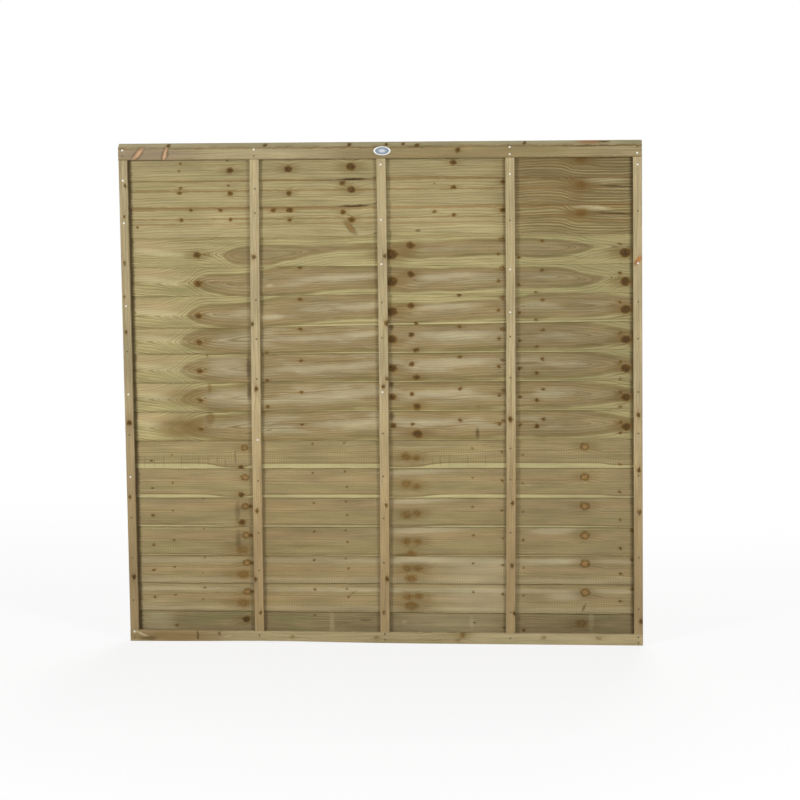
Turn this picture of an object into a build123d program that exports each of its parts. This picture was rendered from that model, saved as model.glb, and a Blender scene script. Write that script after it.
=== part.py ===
from build123d import *
from math import asin, atan2, cos, degrees, sin
import os

# Overlap fence panel. Thin sawn slats lap over each other like weatherboard and are clamped
# between front and rear battens. A two-part rail closes the top and another closes the bottom.
# Millimetres: X runs along the panel, -Y is its front, +Z is up.
# The origin is on the ground under the middle of the panel.

# Whole panel
PANEL_WIDTH = 1828.0
PANEL_HEIGHT = 1775.0

# Slats, counted from the top one down
SLAT_THICKNESS = 5.0
SLAT_WIDTH = 125.0
SLAT_PITCH = 102.5
SLAT_END_INSET = 2.0
LAP_CLEARANCE = 0.2
BOTTOM_SLAT_LIFT = 6.0

# How far the left and right end of each slat's lower edge was set above the even spacing
SLAT_WANDER = [
    (-5, 2), (4, 11), (3, 13), (0, 10), (2, 12), (-12, 15), (0, 11), (-1, 12), (-1, 10),
    (-2, 8), (1, 10), (-1, 6), (-3, 3), (-4, 2), (-2, 4), (-1, 1), (0, 0),
]

# Upright battens, in front and behind
BATTEN_THICKNESS = 16.0
END_BATTEN_WIDTH = 30.0
INNER_BATTEN_WIDTH = 32.0
BATTEN_ARRIS = 1.0
BATTEN_END_GAP = 0.3

# How far the foot and the head of each batten were set to the right of the even spacing
BATTEN_WANDER = [(0, 0), (2, 16), (2, 11), (-1, 10), (0, 0)]

# Rails
RAIL_THICKNESS = 18.0
BOTTOM_RAIL_HEIGHT = 40.0
TOP_RAIL_FACE = 43.0
RIDGE_RISE = 14.5
RAIL_CAP = 14.0
RAIL_ARRIS = 1.5
SLAT_TOP_CLEARANCE = 1.0

# Nails: round heads bedded on the wood, plain shanks in close holes, each biting into the
# rear batten by the depth given
NAIL_BITE = 11.0
NAIL_RADIUS = 1.3
NAIL_HEAD_RADIUS = 3.2
NAIL_HEAD_THICKNESS = 1.0
NAIL_POINT = 3.0
POINT_SHARPNESS = 0.8
NAIL_HOLE_CLEARANCE = 0.1

# Batten nails: one at the top slat's lower edge and the next ones stepped down, the step counted
# in slats, then how far each nail was driven above that, batten by batten from the head down
NAIL_STEP_SLATS = 1.5
NAIL_WANDER = [
    (3, 7, 13, 21, 14, 14, 23, 25, 32, 40, 40),
    (-29, 40, 39, 42, 57, 69, 6, 13, -20, -2, -3),
    (53, 14, 13, 32, 61, 23, 30, 31, 34, 28, 2),
    (17, 10, -7, -3, 65, 74, -22, 21, -15, 21, 7),
    (47, 40, 13, 32, 57, 24, 32, 36, 60, 53, 22),
]
NAIL_LINE_OFFSETS = [-1.0, 1.0, -1.0, 0.5, 1.5]
NAIL_TO_END = 12.0

# Rail nails at each batten: how far each is in from the top rail's arris or the bottom rail's underside
TOP_RAIL_NAIL_DROPS = [(7.5, 29.0), (8.0, 31.0), (), (6.0, 30.5), (8.0, 29.5)]
BOTTOM_RAIL_NAIL_RISES = [(34.0, 12.0), (25.0,), (34.0, 13.0), (22.0,), (30.0, 10.0)]

# Badge: an oval plate pinned on the front of the top rail
BADGE_LENGTH = 60.0
BADGE_HEIGHT = 31.0
BADGE_THICKNESS = 1.5
BADGE_RIM = 4.0
BADGE_FIELD_DEPTH = 0.5
BADGE_OFFSET = 16.0
BADGE_DROP = 0.5
PIN_SPACING = 44.0
PIN_RADIUS = 0.7
PIN_LENGTH = 10.0
PIN_HEAD_RADIUS = 1.4
PIN_HEAD_THICKNESS = 0.5

# Heights of the rails
bottom_rail_top = BOTTOM_RAIL_HEIGHT
rail_arris_z = PANEL_HEIGHT - RIDGE_RISE
top_rail_underside = rail_arris_z - TOP_RAIL_FACE
rebate_roof = rail_arris_z - RAIL_CAP

# The slats are spread evenly from the ground to just inside the top rail, then set off by hand
lap_span = rebate_roof - SLAT_PITCH - BOTTOM_SLAT_LIFT
slat_gaps = round(lap_span / SLAT_PITCH)
even_pitch = lap_span / slat_gaps


def slat_edge(row):
    """Heights of the left and right ends of a slat's lower edge; row 0 is the top slat."""
    even = BOTTOM_SLAT_LIFT + (slat_gaps - row) * even_pitch
    left, right = SLAT_WANDER[row % len(SLAT_WANDER)]
    return even + left, even + right


slat_edges = [slat_edge(row) for row in range(slat_gaps + 1)]
closest_pitch = min(
    upper[end] - lower[end]
    for upper, lower in zip(slat_edges, slat_edges[1:])
    for end in (0, 1)
)

# All slats lean back by the same angle, just enough for the closest pair to clear each other
lean = asin((SLAT_THICKNESS + LAP_CLEARANCE) / closest_pitch)
slat_layer = SLAT_THICKNESS * cos(lean) + SLAT_WIDTH * sin(lean)
top_slat_width = (rebate_roof - SLAT_TOP_CLEARANCE - max(slat_edges[0])) / cos(lean)

# Planes of the faces, measured from the middle of the panel's thickness
layer_face = slat_layer / 2
batten_face = layer_face + BATTEN_THICKNESS
rail_face = layer_face + RAIL_THICKNESS
badge_face = rail_face + BADGE_THICKNESS
nail_length = BATTEN_THICKNESS + slat_layer + NAIL_BITE

# Batten places
batten_foot_z = bottom_rail_top
batten_head_z = top_rail_underside - BATTEN_END_GAP
batten_count = len(BATTEN_WANDER)
first_batten_x = -(PANEL_WIDTH - END_BATTEN_WIDTH) / 2
batten_spacing = (PANEL_WIDTH - END_BATTEN_WIDTH) / (batten_count - 1)


def batten_width(index):
    """The two end battens are a little narrower than those between."""
    is_end = index in (0, batten_count - 1)
    return END_BATTEN_WIDTH if is_end else INNER_BATTEN_WIDTH


def batten_x(index, height):
    """Middle of a batten at a height, along the straight line from its foot to its head."""
    foot, head = BATTEN_WANDER[index]
    share = (height - batten_foot_z) / (batten_head_z - batten_foot_z)
    return first_batten_x + index * batten_spacing + foot + share * (head - foot)


def nail_line(index):
    """Every nail down one batten as (x, z), stopping short of the batten's foot."""
    steps = int(slat_gaps / NAIL_STEP_SLATS) + 1
    wander = NAIL_WANDER[index]
    places = []
    for step in range(steps):
        slats_up = slat_gaps - step * NAIL_STEP_SLATS
        height = BOTTOM_SLAT_LIFT + slats_up * even_pitch + wander[step % len(wander)]
        if height >= batten_foot_z + NAIL_TO_END:
            places.append((batten_x(index, height) + NAIL_LINE_OFFSETS[index], height))
    return places


battens = range(batten_count)
batten_nails_at = [place for index in battens for place in nail_line(index)]
top_nails_at = [
    (batten_x(index, batten_head_z), rail_arris_z - drop)
    for index in battens
    for drop in TOP_RAIL_NAIL_DROPS[index]
]
bottom_nails_at = [
    (batten_x(index, batten_foot_z), rise)
    for index in battens
    for rise in BOTTOM_RAIL_NAIL_RISES[index]
]
rail_nails_at = top_nails_at + bottom_nails_at
badge_z = rail_arris_z - BADGE_DROP - BADGE_HEIGHT / 2
badge_pins_at = [(BADGE_OFFSET + side * PIN_SPACING / 2, badge_z) for side in (-1, 1)]


def front_plane(depth):
    """A plane facing the front, at a distance out from the middle, with X right and Y up."""
    return Plane(origin=(0, -depth, 0), x_dir=(1, 0, 0), z_dir=(0, -1, 0))


def drill(places, radius):
    """Round holes right through the panel, badge included, at the given places."""
    with BuildSketch(front_plane(badge_face)) as holes:
        with Locations(*places):
            Circle(radius)
    extrude(holes.sketch, amount=-2 * badge_face, mode=Mode.SUBTRACT)


def pins(places, face, length, radius, head_radius, head_thickness, point):
    """Fasteners with a flat round head on a face and a tapered point inside the wood."""
    with BuildSketch(front_plane(face)) as heads:
        with Locations(*places):
            Circle(head_radius)
    extrude(heads.sketch, amount=head_thickness)
    with BuildSketch(front_plane(face)) as shanks:
        with Locations(*places):
            Circle(radius)
    extrude(shanks.sketch, amount=-(length - point))
    with BuildSketch(front_plane(face - length + point)) as points:
        with Locations(*places):
            Circle(radius)
    extrude(points.sketch, amount=-point, taper=degrees(atan2(radius * POINT_SHARPNESS, point)))


def outer_long_edges(rail, side):
    """The two long edges of a rail's outer face, on the front side (-1) or the rear (1)."""
    long_edges = rail.edges().filter_by(Axis.X).sort_by(Axis.Y)
    return long_edges[:2] if side < 0 else long_edges[-2:]


def finish(part, name):
    """Label a finished piece and write its file."""
    part.label = name
    export_step(part, f"parts/{name}.step")


def nails_near(places, low, high):
    """The places whose nails could touch something between two heights."""
    reach = NAIL_HEAD_RADIUS
    return [(x, z) for x, z in places if low - reach <= z <= high + reach]


os.makedirs("parts", exist_ok=True)
hole_radius = NAIL_RADIUS + NAIL_HOLE_CLEARANCE
all_nails_at = batten_nails_at + rail_nails_at

# Slats: a leaning oblong section carried from one end of the panel to the other, rising or
# falling as the slat was nailed on
slat_left = -PANEL_WIDTH / 2 + SLAT_END_INSET
slat_run = PANEL_WIDTH - 2 * SLAT_END_INSET

for row, (left_z, right_z) in enumerate(slat_edges):
    width = top_slat_width if row == 0 else SLAT_WIDTH
    top_y = width * sin(lean)
    top_z = width * cos(lean)
    back_y = SLAT_THICKNESS * cos(lean)
    back_z = -SLAT_THICKNESS * sin(lean)
    along = Vector(slat_run, 0, right_z - left_z)
    with BuildPart() as slat:
        with BuildSketch(Plane(origin=(slat_left, -layer_face, left_z), x_dir=(0, 1, 0), z_dir=(1, 0, 0))):
            Polygon((0, 0), (back_y, back_z), (back_y + top_y, back_z + top_z), (top_y, top_z), align=None)
        extrude(amount=along.length, dir=along)
        crossing = nails_near(all_nails_at, min(left_z, right_z) + back_z, max(left_z, right_z) + top_z)
        drill(crossing, hole_radius)
    finish(slat.part, f"slat_{row + 1:02d}")

# Battens: straight bars with plumb-cut ends, standing on the bottom rail under the top rail
for side, side_name in ((-1, "front"), (1, "rear")):
    for index in battens:
        half = batten_width(index) / 2
        foot_x = batten_x(index, batten_foot_z)
        head_x = batten_x(index, batten_head_z)
        with BuildPart() as batten:
            with BuildSketch(front_plane(-side * layer_face)):
                Polygon(
                    (foot_x - half, batten_foot_z),
                    (foot_x + half, batten_foot_z),
                    (head_x + half, batten_head_z),
                    (head_x - half, batten_head_z),
                    align=None,
                )
            extrude(amount=-side * BATTEN_THICKNESS)
            outer_face = batten.faces().sort_by(Axis.Y)[0 if side < 0 else -1]
            chamfer(outer_face.edges().sort_by(SortBy.LENGTH)[-2:], BATTEN_ARRIS)
            drill(nail_line(index), hole_radius)
        finish(batten.part, f"{side_name}_batten_{index + 1}")

# Rails: front and rear halves that meet over the slats at the ridge and stand apart below
badge_pin_hole = PIN_RADIUS + NAIL_HOLE_CLEARANCE
for side, side_name in ((-1, "front"), (1, "rear")):
    face_y = side * rail_face
    back_y = side * layer_face
    with BuildPart() as top_rail:
        with BuildSketch(Plane(origin=(-PANEL_WIDTH / 2, 0, 0), x_dir=(0, 1, 0), z_dir=(1, 0, 0))):
            Polygon(
                (face_y, top_rail_underside),
                (face_y, rail_arris_z),
                (0, PANEL_HEIGHT),
                (0, rebate_roof),
                (back_y, rebate_roof),
                (back_y, top_rail_underside),
                align=None,
            )
        extrude(amount=PANEL_WIDTH)
        chamfer(outer_long_edges(top_rail, side), RAIL_ARRIS)
        drill(top_nails_at, hole_radius)
        if side < 0:
            drill(badge_pins_at, badge_pin_hole)
    finish(top_rail.part, f"top_rail_{side_name}")

    with BuildPart() as bottom_rail:
        with BuildSketch(Plane(origin=(-PANEL_WIDTH / 2, 0, 0), x_dir=(0, 1, 0), z_dir=(1, 0, 0))):
            Polygon(
                (face_y, 0),
                (face_y, bottom_rail_top),
                (back_y, bottom_rail_top),
                (back_y, 0),
                align=None,
            )
        extrude(amount=PANEL_WIDTH)
        chamfer(outer_long_edges(bottom_rail, side), RAIL_ARRIS)
        drill(bottom_nails_at, hole_radius)
    finish(bottom_rail.part, f"bottom_rail_{side_name}")

# Nails, each kind as one group of separate solids
with BuildPart() as batten_nails:
    pins(
        batten_nails_at, batten_face, nail_length,
        NAIL_RADIUS, NAIL_HEAD_RADIUS, NAIL_HEAD_THICKNESS, NAIL_POINT,
    )
finish(batten_nails.part, "batten_nails")

with BuildPart() as rail_nails:
    pins(
        rail_nails_at, rail_face, nail_length,
        NAIL_RADIUS, NAIL_HEAD_RADIUS, NAIL_HEAD_THICKNESS, NAIL_POINT,
    )
finish(rail_nails.part, "rail_nails")

# Badge: an oval plate with a raised rim round a sunk field
with BuildPart() as badge:
    with BuildSketch(front_plane(rail_face)):
        with Locations((BADGE_OFFSET, badge_z)):
            Ellipse(BADGE_LENGTH / 2, BADGE_HEIGHT / 2)
    extrude(amount=BADGE_THICKNESS)
    with BuildSketch(front_plane(badge_face)):
        with Locations((BADGE_OFFSET, badge_z)):
            Ellipse(BADGE_LENGTH / 2 - BADGE_RIM, BADGE_HEIGHT / 2 - BADGE_RIM)
    extrude(amount=-BADGE_FIELD_DEPTH, mode=Mode.SUBTRACT)
    drill(badge_pins_at, badge_pin_hole)
finish(badge.part, "badge")

pin_face = badge_face - BADGE_FIELD_DEPTH
with BuildPart() as badge_pins:
    pins(badge_pins_at, pin_face, PIN_LENGTH, PIN_RADIUS, PIN_HEAD_RADIUS, PIN_HEAD_THICKNESS, PIN_RADIUS)
finish(badge_pins.part, "badge_pins")

print(f"{len(slat_edges)} slats, leaning back {degrees(lean):.2f} degrees, layer {slat_layer:.2f} mm")
print(f"batten faces {2 * batten_face:.2f} mm apart, rail faces {2 * rail_face:.2f} mm apart")
print(f"{len(batten_nails_at)} batten nails and {len(rail_nails_at)} rail nails")
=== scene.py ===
# %% [markdown]
# An overlap fence panel: seventeen thin sawn slats lap over each other between upright battens,
# with a bevelled rail on top and a plain rail below. The solid model is loaded first as a fixed
# frame. Each wooden piece, and the badge, is then made again as a finer surface in the same
# place, because the look of rough timber is in its wavy edges, its worn corners and above all
# its knots and grain.

# %% Load the frame and measure it
from math import asin, atan2, cos, degrees, hypot, pi, radians, sin

import bpy
import numpy as np
from mathutils import Matrix, Vector


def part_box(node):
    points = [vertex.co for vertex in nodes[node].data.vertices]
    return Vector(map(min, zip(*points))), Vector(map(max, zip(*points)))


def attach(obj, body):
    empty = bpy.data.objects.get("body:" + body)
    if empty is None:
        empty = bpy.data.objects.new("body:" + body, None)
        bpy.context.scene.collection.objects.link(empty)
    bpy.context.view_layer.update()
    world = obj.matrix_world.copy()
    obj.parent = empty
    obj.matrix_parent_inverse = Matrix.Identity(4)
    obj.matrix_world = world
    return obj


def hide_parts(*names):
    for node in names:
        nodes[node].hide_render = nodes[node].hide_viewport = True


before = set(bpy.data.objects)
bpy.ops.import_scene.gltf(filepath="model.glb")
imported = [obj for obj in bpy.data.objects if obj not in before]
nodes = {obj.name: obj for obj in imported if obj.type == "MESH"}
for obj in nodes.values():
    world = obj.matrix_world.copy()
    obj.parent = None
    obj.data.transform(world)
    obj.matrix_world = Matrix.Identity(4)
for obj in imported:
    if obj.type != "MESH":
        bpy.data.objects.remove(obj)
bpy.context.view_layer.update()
MM = 0.001

# %% [markdown]
# Every piece of timber here is the same kind of shape: a section with softened corners, carried
# along the length of the board. A Bevel modifier could soften the corners afterwards, but a
# section that is drawn as a list of points is rounded once and then serves for the whole board.

# %% Rounded sections
CORNER_STEPS = 4
FACE_STEP = 9.0


def rounded(corners, radius):
    """Section with each corner cut back by the radius and bridged by a quadratic curve, which is
    (1-t)^2 a + 2t(1-t) corner + t^2 b. Long straight stretches get a point every FACE_STEP."""
    corners = np.asarray(corners, float)
    before = np.roll(corners, 1, axis=0) - corners
    after = np.roll(corners, -1, axis=0) - corners
    start = corners + radius * before / np.linalg.norm(before, axis=1, keepdims=True)
    end = corners + radius * after / np.linalg.norm(after, axis=1, keepdims=True)
    t = np.linspace(0, 1, CORNER_STEPS)[:, None, None]
    bends = (1 - t) ** 2 * start + 2 * t * (1 - t) * corners + t ** 2 * end
    pieces = []
    for corner, leave in enumerate(end):
        reach = start[(corner + 1) % len(corners)] - leave
        spans = max(1, int(np.linalg.norm(reach) / FACE_STEP))
        inner = np.linspace(0, 1, spans + 1)[1:-1, None]
        pieces += [bends[:, corner], leave + inner * reach]
    return np.concatenate(pieces)


test_section = rounded([(0, 0), (0, 125), (5, 125), (5, 0)], 0.8)
print("Section test, points round a 125 by 5 slat:", len(test_section))

# %% [markdown]
# A second helper turns a grid of points into a closed mesh. The grid's rows are stations along
# the board, and its columns go round the section. Working on whole arrays keeps this quick for
# long boards. A third puts the mesh in the place of one of the frame's nodes.

# %% Closed meshes in place of nodes
SHARP_ANGLE = radians(50)


def closed_mesh(name, points):
    """Mesh of the grid points[station, place round the section, xyz], in metres. Quads join
    neighbouring stations, and one face closes each end."""
    stations, around = points.shape[:2]
    number = np.arange(stations * around).reshape(stations, around)
    beside = np.roll(number, -1, axis=1)
    quads = np.stack([number[:-1], beside[:-1], beside[1:], number[1:]], axis=-1).reshape(-1, 4)
    ends = [number[0, ::-1].tolist(), number[-1].tolist()]
    flat = points.reshape(-1, 3)
    turn = np.einsum("ij,ij->i", flat[quads[:, 0]], np.cross(flat[quads[:, 1]], flat[quads[:, 2]]))
    if turn.sum() < 0:
        quads = quads[:, ::-1]
        ends = [end[::-1] for end in ends]
    mesh = bpy.data.meshes.new(name)
    mesh.from_pydata(flat.tolist(), [], quads.tolist() + ends)
    mesh.polygons.foreach_set("use_smooth", np.ones(len(mesh.polygons), bool))
    mesh.set_sharp_from_angle(angle=SHARP_ANGLE)
    return mesh


def piece_for(node, mesh):
    """Put a mesh in the scene in place of a CAD node, riding on the panel's only body."""
    ending = "_plate" if node == "badge" else "_timber"
    piece = bpy.data.objects.new(node + ending, mesh)
    bpy.context.scene.collection.objects.link(piece)
    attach(piece, "root")
    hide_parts(node)
    return piece


print("Edges over", round(degrees(SHARP_ANGLE)), "degrees are shaded as sharp ones")

# %% [markdown]
# No sawn edge is quite straight. A sum of sines, each shorter and lower than the one before, is
# smooth and yet doesn't seem to repeat. Each board has its own seed, so every run is the same.

# %% Uneven edges
WAVE_COUNT = 5
WAVE_SHORTER = 0.6
WAVE_LOWER = 0.7


def waves(seed, places, length, height):
    """Smooth unevenness along a board: a sum of sines with random starts, the longest one
    `length` mm long and each next one WAVE_SHORTER times as long and WAVE_LOWER times as high."""
    draw = np.random.default_rng(seed)
    starts = draw.uniform(0, 2 * pi, WAVE_COUNT)
    lengths = length * WAVE_SHORTER ** np.arange(WAVE_COUNT)
    heights = height * WAVE_LOWER ** np.arange(WAVE_COUNT)
    return (heights * np.sin(2 * pi * places[..., None] / lengths + starts)).sum(-1)


test_wave = waves(1, np.linspace(0, 1800, 500), 420.0, 1.0)
print("Waves of 1 mm add up to", round(float(np.abs(test_wave).max()), 2), "mm at most")

# %% [markdown]
# The slats are sawn thin, about 5 mm, and lean back a little so that each one's foot lies over
# the head of the next. The frame says how deep the leaning slat is, and that depth gives the
# angle, because it is thickness * cos(lean) + width * sin(lean).

# %% How far the slats lean
SLAT_COUNT = 17
SLAT_THICKNESS = 5.0
SLAT_WIDTH = 125.0


def slat_name(row):
    """Name of a slat's node. Rows are counted from the top."""
    return f"slat_{row:02d}"


def box_mm(node):
    """Lowest and highest corner of a node, in mm."""
    low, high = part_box(node)
    return np.array(low) / MM, np.array(high) / MM


low, high = box_mm(slat_name(2))
slat_front = low[1]
slat_depth = high[1] - low[1]
lean = asin(slat_depth / hypot(SLAT_WIDTH, SLAT_THICKNESS)) - atan2(SLAT_THICKNESS, SLAT_WIDTH)


def slat_lines(row):
    """Foot height at the left end, rise per mm to the right, and width, from the frame's box."""
    low, high = box_mm(slat_name(row))
    width = (high[1] - low[1] - SLAT_THICKNESS * cos(lean)) / sin(lean)
    section = width * cos(lean) + SLAT_THICKNESS * sin(lean)
    left = low[2] + SLAT_THICKNESS * sin(lean)
    return low, high, left, (high[2] - low[2] - section) / (high[0] - low[0]), width


print(f"Slats lean back {degrees(lean):.2f} degrees")

# %% [markdown]
# Between the battens nothing holds a slat's foot, so it bows forward by a millimetre or so. The
# top three slats were sawn at the log's edge, and wood is missing from their feet where the bark
# was. Both could be sculpted by hand, but here each is a small, even move of the grid's points.

# %% Slats
SLAT_CORNER = 0.8
STATION_STEP = 6.0
EDGE_WAVE = 0.45
EDGE_LENGTH = 420.0
FOOT_BOW = 0.8
BOW_CHANGE = 0.7
BOW_SLAT_STEP = 7.0
BOW_LENGTH = 300.0
WANE_SLATS = (1, 2, 3)
WANE_PEAK_X = 14.0
WANE_RISE = 15.0
WANE_LEFT = 45.0
WANE_RIGHT = 330.0
batten_middles = []
for number in range(1, 6):
    low, high = box_mm(f"front_batten_{number}")
    batten_middles.append(float((low[0] + high[0]) / 2))


def wane(x):
    """Wood missing from the foot: a hump, steep to the left of its peak and long to the right."""
    away = x - WANE_PEAK_X
    reach = np.where(away < 0, WANE_LEFT, WANE_RIGHT)
    return WANE_RISE * np.exp(-((away / reach) ** 2))


def free_span(x):
    """0 at each batten and 1 midway between two, as sin^2."""
    spacing = (batten_middles[-1] - batten_middles[0]) / (len(batten_middles) - 1)
    return np.sin(pi * (x - batten_middles[0]) / spacing) ** 2


def slat_mesh(row):
    """Points are foot + t * up the slat + d * through it. t is squeezed towards the head where
    the foot is raised, and the foot bows forward by FOOT_BOW * free_span * (1 - t/width)^2, more
    on some spans than on others."""
    low, high, left, climb, width = slat_lines(row)
    corners = [(0, 0), (width, 0), (width, SLAT_THICKNESS), (0, SLAT_THICKNESS)]
    section = rounded(corners, SLAT_CORNER)
    count = int((high[0] - low[0]) / STATION_STEP)
    x = np.linspace(low[0], high[0], count)[:, None]
    t, d = section[None, :, 0], section[None, :, 1]
    raised = np.abs(waves(row, x, EDGE_LENGTH, EDGE_WAVE))
    if row in WANE_SLATS:
        raised = raised + wane(x)
    change = 1 + BOW_CHANGE * np.sin(BOW_SLAT_STEP * row + x / BOW_LENGTH)
    bow = FOOT_BOW * change * free_span(x) * (1 - t / width) ** 2
    up = raised + t * (width - raised) / width
    y = low[1] + up * sin(lean) + d * cos(lean) - bow
    z = left + climb * (x - low[0]) + up * cos(lean) - d * sin(lean)
    return closed_mesh(slat_name(row), np.stack([x + 0 * t, y, z], axis=-1) * MM)


slats = {}
for row in range(1, SLAT_COUNT + 1):
    slats[row] = piece_for(slat_name(row), slat_mesh(row))
print("Slats:", len(slats), "faces in all:", sum(len(slat.data.polygons) for slat in slats.values()))

# %% [markdown]
# The battens are narrow bars nailed over the slats, front and back. The three inner ones have a
# gentle bend of about 3 mm: at its middle the second stands to the left of a straight line, and
# the third and fourth to the right. A parabola, 4 * share * (1 - share), gives that bend and
# leaves both ends where the frame has them.

# %% Battens
END_BATTEN_WIDTH = 30.0
INNER_BATTEN_WIDTH = 32.0
BATTEN_CORNER = 1.3
BATTEN_BEND = (0.0, -3.0, 3.2, 2.8, 0.0)
BATTEN_WAVE = 0.25
BATTEN_WAVE_LENGTH = 500.0
REAR_SEED = 10


def batten_line(node, number):
    """Middle of the batten at its foot and at its head, and its half width."""
    low, high = box_mm(node)
    half = (END_BATTEN_WIDTH if number in (1, 5) else INNER_BATTEN_WIDTH) / 2
    return low, high, low[0] + half, high[0] - half, half


def batten_mesh(node, number):
    """Points are middle(z) + section, where the middle runs straight from foot to head plus the
    bend, and a slight wave shifts both long edges of the inner ones together."""
    low, high, foot, head, half = batten_line(node, number)
    corners = [(-half, low[1]), (half, low[1]), (half, high[1]), (-half, high[1])]
    section = rounded(corners, BATTEN_CORNER)
    count = int((high[2] - low[2]) / STATION_STEP)
    z = np.linspace(low[2], high[2], count)[:, None]
    share = (z - low[2]) / (high[2] - low[2])
    free = 4 * share * (1 - share)
    middle = foot + share * (head - foot) + free * BATTEN_BEND[number - 1]
    seed = number + (REAR_SEED if "rear" in node else 0)
    wave = waves(seed, z, BATTEN_WAVE_LENGTH, BATTEN_WAVE) * free * (number not in (1, 5))
    return closed_mesh(node, np.stack([
        middle + wave + section[None, :, 0],
        section[None, :, 1] + 0 * z,
        z + 0 * section[None, :, 0],
    ], axis=-1) * MM)


battens = {}
for side in ("front", "rear"):
    for number in range(1, 6):
        node = f"{side}_batten_{number}"
        battens[node] = piece_for(node, batten_mesh(node, number))
print("Battens:", len(battens), "faces each:", len(battens["front_batten_2"].data.polygons))

# %% [markdown]
# Each rail is two halves that meet over the slats. The top halves are bevelled, so that their
# joint is a ridge and rain runs off to both sides. The section is drawn once for the front, and
# the rear one is its mirror image. The foot of the front bottom rail was sawn a little hollow.

# %% Rails
RIDGE_RISE = 14.5
RAIL_CAP = 14.0
RAIL_CORNER = 1.6
HOLLOW_X = -400.0
HOLLOW_REACH = 260.0
HOLLOW_RISE = 4.5


def rail_mesh(node):
    """Section (y, z) carried along X. The front bottom rail's z is squeezed upwards at its foot by
    the hollow, a hump HOLLOW_RISE * exp(-((x - HOLLOW_X) / HOLLOW_REACH)^2)."""
    low, high = box_mm(node)
    side = -1 if "front" in node else 1
    outer = low[1] if side < 0 else high[1]
    inner = -side * slat_front
    if "top" in node:
        arris = high[2] - RIDGE_RISE
        roof = arris - RAIL_CAP
        corners = [
            (outer, low[2]), (outer, arris), (0, high[2]),
            (0, roof), (inner, roof), (inner, low[2]),
        ]
    else:
        corners = [(outer, low[2]), (outer, high[2]), (inner, high[2]), (inner, low[2])]
    section = rounded(corners, RAIL_CORNER)
    count = int((high[0] - low[0]) / STATION_STEP)
    x = np.linspace(low[0], high[0], count)[:, None]
    y, z = section[None, :, 0] + 0 * x, section[None, :, 1] + 0 * x
    if node == "bottom_rail_front":
        hollow = HOLLOW_RISE * np.exp(-(((x - HOLLOW_X) / HOLLOW_REACH) ** 2))
        z = hollow + z * (high[2] - hollow) / high[2]
    return closed_mesh(node, np.stack([x + 0 * y, y, z], axis=-1) * MM)


rail_nodes = [node for node in nodes if "rail_" in node and "nails" not in node]
rails = {node: piece_for(node, rail_mesh(node)) for node in rail_nodes}
print("Rails:", sorted(rails))

# %% [markdown]
# The badge is a pressed oval plate: a rounded rim stands proud round a shallow field that swells
# a little in the middle. Its surface is a polar grid, where each ring of points is an oval and
# the ring's height follows one profile from the centre out and round to the back.

# %% Badge
BADGE_RIM = 4.0
FIELD_DEPTH = 0.5
FIELD_SWELL = 0.35
BADGE_AROUND = 96
BADGE_RINGS = 14
FIRST_RING = 0.02
BACK_SWEEP = 3


def badge_mesh():
    """Rings of points (a cos v, b sin v). From the centre out, the field's height falls with the
    square of the radius, the rim is half an ellipse, and the last rings close the flat back."""
    low, high = box_mm("badge")
    centre, half = (low + high) / 2, (high - low) / 2
    floor = low[1] + FIELD_DEPTH
    share = np.linspace(FIRST_RING, 1, BADGE_RINGS)
    turn = np.linspace(0, pi, BADGE_RINGS)
    inset = np.concatenate([
        BADGE_RIM + (half[2] - BADGE_RIM) * (1 - share),
        BADGE_RIM * (1 + np.cos(turn)) / 2,
        BADGE_RIM + (half[2] - BADGE_RIM) * share,
    ])
    depth = np.concatenate([
        floor - FIELD_SWELL * (1 - share ** 2),
        floor - FIELD_DEPTH * np.sin(turn) + (high[1] - floor) * (turn / pi) ** BACK_SWEEP,
        high[1] + 0 * share,
    ])
    around = np.linspace(0, 2 * pi, BADGE_AROUND, endpoint=False)
    scale = 1 - inset[:, None] / half[2]
    points = np.stack([
        centre[0] + half[0] * scale * np.cos(around),
        depth[:, None] + 0 * around,
        centre[2] + half[2] * scale * np.sin(around),
    ], axis=-1)
    return closed_mesh("badge", points * MM)


badge = piece_for("badge", badge_mesh())
print("Badge faces:", len(badge.data.polygons))

# %% [markdown]
# Now the finishes. Wood is built from maths on the object's own coordinates, so a small class
# wraps a node's socket and lets the formulas be written as ordinary Python. Adding two wrapped
# sockets makes a Math node. The nodes could also be added and linked one by one, but then nobody
# could see the formula for the links.

# %% Shader maths as Python
class Value:
    """A socket of a node tree. Arithmetic on it adds Math nodes and gives the result's socket."""

    def __init__(self, maker, socket):
        self.maker = maker
        self.socket = socket

    def math(self, operation, *others):
        """A Math node of this operation, on this socket and then the others."""
        inputs = dict(enumerate((self, *others)))
        return self.maker.node("ShaderNodeMath", {"operation": operation}, inputs)

    def __add__(self, other):
        return self.math("ADD", other)

    def __sub__(self, other):
        return self.math("SUBTRACT", other)

    def __mul__(self, other):
        return self.math("MULTIPLY", other)

    def __truediv__(self, other):
        return self.math("DIVIDE", other)

    def __pow__(self, other):
        return self.math("POWER", other)

    def __rsub__(self, other):
        return self.maker.node("ShaderNodeMath", {"operation": "SUBTRACT"}, {0: other, 1: self})

    __radd__ = __add__
    __rmul__ = __mul__


print("Signs that work on sockets: + - * / **")

# %% [markdown]
# Every other kind of node comes from one method: it takes the node's type, its settings, and the
# numbers or links of its sockets. The same class makes nodes for the materials, the floor and the
# world, and its other methods are short names for the nodes that wood needs again and again.

# %% Making nodes
SEED_STEPS = (7.3, 3.1, 1.7)


def set_stops(node, stops):
    """Place a Float Curve's points. Its first and last exist already, and the rest are added."""
    line = node.mapping.curves[0]
    line.points[0].location = stops[0]
    line.points[-1].location = stops[-1]
    for place in stops[1:-1]:
        line.points.new(*place)
    node.mapping.update()


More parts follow.
